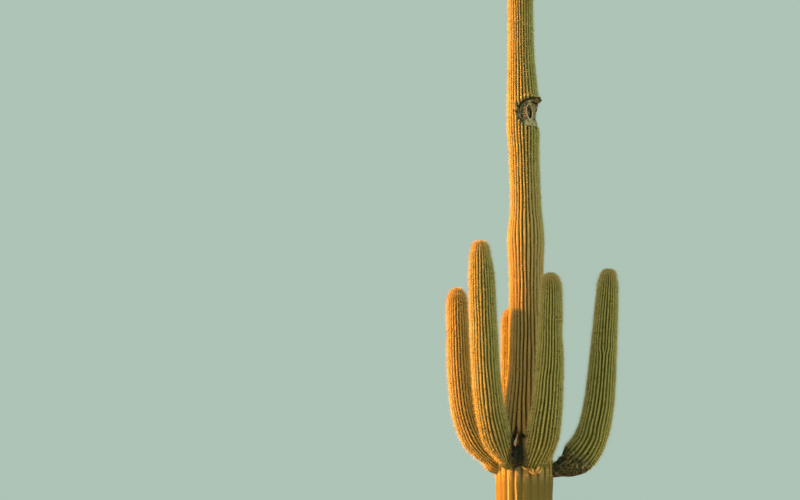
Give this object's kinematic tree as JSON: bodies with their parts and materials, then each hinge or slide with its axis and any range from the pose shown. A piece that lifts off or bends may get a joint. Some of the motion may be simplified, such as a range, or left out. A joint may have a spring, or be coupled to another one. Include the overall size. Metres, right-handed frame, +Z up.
{
  "type": "saguaro cactus",
  "caption": "Tall ribbed saguaro cactus with upturned side arms, a tapering trunk, an old nest hole and a flat cut at ground level.",
  "frame": {"origin": "middle of the trunk's flat cut at ground level", "axes": "+Z up along the trunk, +X to the right and +Y away from the viewer as the picture shows the plant"},
  "size_m": [1.7448, 1.188, 8],
  "materials": {
    "trunk_skin": "matte, ribbed, with pale spine clusters along the ribs",
    "arm_skin": "matte, ribbed, with pale spine clusters along the ribs",
    "callus": "matte grey-brown healed scar tissue",
    "healed_fold": "matte pinkish-tan healed fold",
    "dried_tissue": "matte, dark and dried"
  },
  "bodies": {
    "root": {"trunk": "trunk_skin", "nest_hole_collar": "callus", "fold_under_right_front_arm": "healed_fold", "dried_bud": "dried_tissue", "arm_left_outer_elbow": "arm_skin", "arm_left_outer_upright": "arm_skin", "arm_left_front_elbow": "arm_skin", "arm_left_front_upright": "arm_skin", "arm_back_left_elbow": "arm_skin", "arm_back_left_upright": "arm_skin", "arm_right_front_elbow": "arm_skin", "arm_right_front_upright": "arm_skin", "arm_right_outer_elbow": "arm_skin", "arm_right_outer_upright": "arm_skin"}
  },
  "joints": []
}
